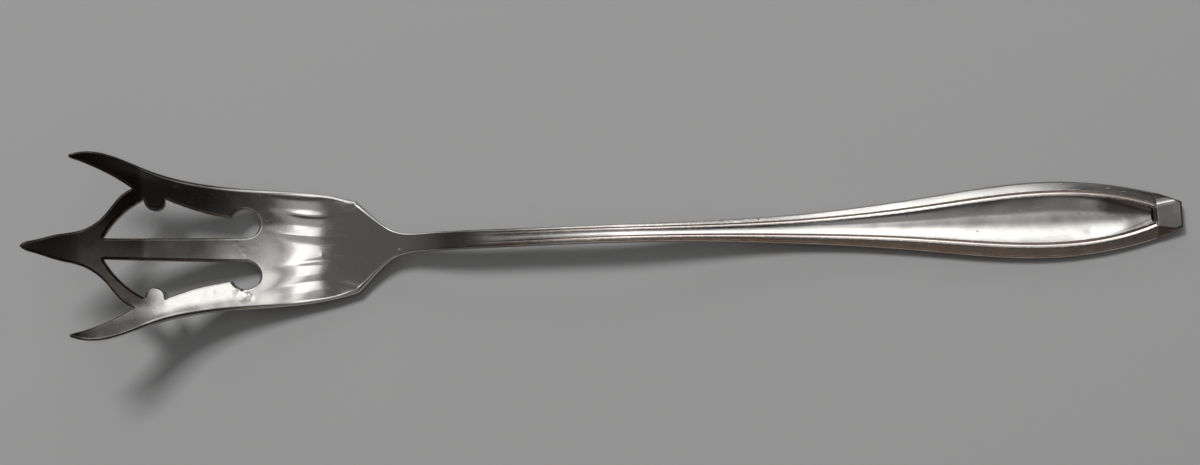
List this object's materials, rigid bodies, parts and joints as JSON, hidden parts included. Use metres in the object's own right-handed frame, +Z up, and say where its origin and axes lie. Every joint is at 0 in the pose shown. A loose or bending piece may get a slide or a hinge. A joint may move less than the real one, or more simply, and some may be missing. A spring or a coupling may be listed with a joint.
{
  "type": "salad serving fork",
  "caption": "Long one-piece serving fork with an arrow-shaped middle tine, swept outer tines, openwork arms, a shallow fluted bowl and a long handle with a hollow threaded panel.",
  "frame": {"origin": "middle of the fork's length and width, at the level of the table it lies on", "axes": "+X along the fork towards the end of the handle, +Y across the fork, +Z up from the table, on the side of the bowl's hollow"},
  "size_m": [0.225, 0.0364, 0.0227],
  "materials": {
    "silver_plate": "polished"
  },
  "bodies": {
    "root": {"salad_fork": "silver_plate"}
  },
  "joints": []
}
